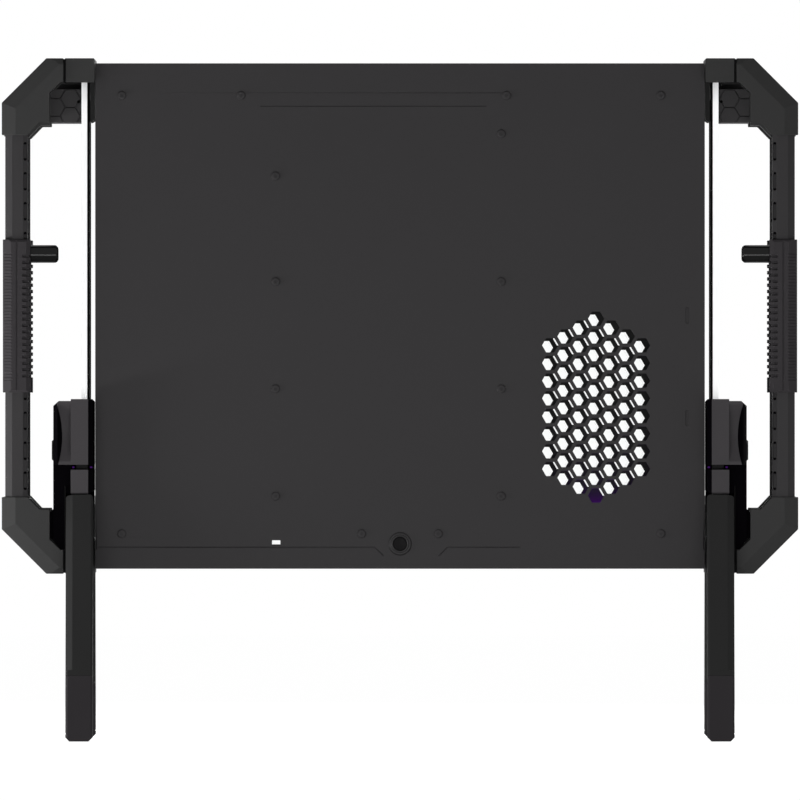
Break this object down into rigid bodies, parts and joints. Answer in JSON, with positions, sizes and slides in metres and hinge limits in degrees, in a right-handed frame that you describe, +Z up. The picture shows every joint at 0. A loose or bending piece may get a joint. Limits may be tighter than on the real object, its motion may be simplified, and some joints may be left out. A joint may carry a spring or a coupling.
{
  "type": "computer case",
  "caption": "Open-frame mini-tower computer case with a steel body, honeycomb vent, handle frames, glass side panes and splayed folding legs.",
  "frame": {"origin": "on the floor under the middle of the case, between the four feet", "axes": "+X across the case to the right as seen from the rear cover, +Y from the rear cover to the front glass, +Z up"},
  "size_m": [0.5812, 0.3086, 0.4981],
  "materials": {
    "body_steel": "fine matt black powder coat",
    "black_fastener": "black oxide",
    "brass": "turned brass",
    "violet_light": "frosted light strip",
    "clear_glass": "clear toughened glass",
    "glass_border": "black printed border strip",
    "button_black": "satin black",
    "gloss_black": "polished black",
    "frame_plastic": "moulded black plastic",
    "frame_alloy": "satin black coating",
    "grip_rubber": "matt black rubber",
    "hub_alloy": "satin black coating",
    "leg_alloy": "satin black coating",
    "foot_rubber": "matt black rubber"
  },
  "bodies": {
    "case": {"rear_cover": "body_steel", "cover_screws": "black_fastener", "cover_spacers": "brass", "board_tray": "body_steel", "board_standoffs": "brass", "top_wall": "body_steel", "bottom_wall": "body_steel", "slot_covers": "body_steel", "slot_screws": "black_fastener", "supply_bracket": "body_steel", "drive_bracket": "body_steel", "vent_light": "violet_light", "front_glass": "clear_glass", "glass_posts": "black_fastener", "glass_caps": "black_fastener", "button_ring": "button_black", "top_bar_left": "frame_plastic", "top_bar_right": "frame_plastic", "bottom_bar_left": "frame_plastic", "bottom_bar_right": "frame_plastic", "side_pane_left": "clear_glass", "side_pane_right": "clear_glass", "pane_border_left": "glass_border", "pane_border_right": "glass_border", "honeycomb_tie_left": "frame_plastic", "honeycomb_tie_right": "frame_plastic", "frame_screws": "black_fastener", "upper_bracket_rear_left": "frame_alloy", "upper_bracket_rear_right": "frame_alloy", "upper_bracket_front_left": "frame_alloy", "upper_bracket_front_right": "frame_alloy", "lower_bracket_rear_left": "frame_alloy", "lower_bracket_rear_right": "frame_alloy", "lower_bracket_front_left": "frame_alloy", "lower_bracket_front_right": "frame_alloy", "rail_rear_left": "frame_alloy", "rail_rear_right": "frame_alloy", "rail_front_left": "frame_alloy", "rail_front_right": "frame_alloy", "grip_rear_left": "grip_rubber", "grip_rear_right": "grip_rubber", "grip_front_left": "grip_rubber", "grip_front_right": "grip_rubber", "peg_left": "gloss_black", "peg_right": "gloss_black", "hub_rear_left": "hub_alloy", "hub_rear_right": "hub_alloy", "hub_front_left": "hub_alloy", "hub_front_right": "hub_alloy", "pivot_pins": "black_fastener"},
    "leg_rear_left": {"leg_rear_left": "leg_alloy", "foot_rear_left": "foot_rubber"},
    "leg_rear_right": {"leg_rear_right": "leg_alloy", "foot_rear_right": "foot_rubber"},
    "leg_front_left": {"leg_front_left": "leg_alloy", "foot_front_left": "foot_rubber"},
    "leg_front_right": {"leg_front_right": "leg_alloy", "foot_front_right": "foot_rubber"},
    "power_button": {"power_button": "button_black"}
  },
  "joints": [
    {"name": "leg_rear_left_fold", "type": "hinge", "parent": "case", "child": "leg_rear_left", "pos_m": [-0.23215, -0.08, 0.212], "axis": [1, 0, 0], "range_deg": [0, 16]},
    {"name": "leg_rear_right_fold", "type": "hinge", "parent": "case", "child": "leg_rear_right", "pos_m": [0.23215, -0.08, 0.212], "axis": [1, 0, 0], "range_deg": [0, 16]},
    {"name": "leg_front_left_fold", "type": "hinge", "parent": "case", "child": "leg_front_left", "pos_m": [-0.23215, 0.08, 0.212], "axis": [-1, 0, 0], "range_deg": [0, 16]},
    {"name": "leg_front_right_fold", "type": "hinge", "parent": "case", "child": "leg_front_right", "pos_m": [0.23215, 0.08, 0.212], "axis": [-1, 0, 0], "range_deg": [0, 16]},
    {"name": "button_press", "type": "slide", "parent": "case", "child": "power_button", "axis": [0, 1, 0], "range_m": [0, 0.0015], "stiffness_N_per_m": 300, "springref_m": -0.002}
  ]
}
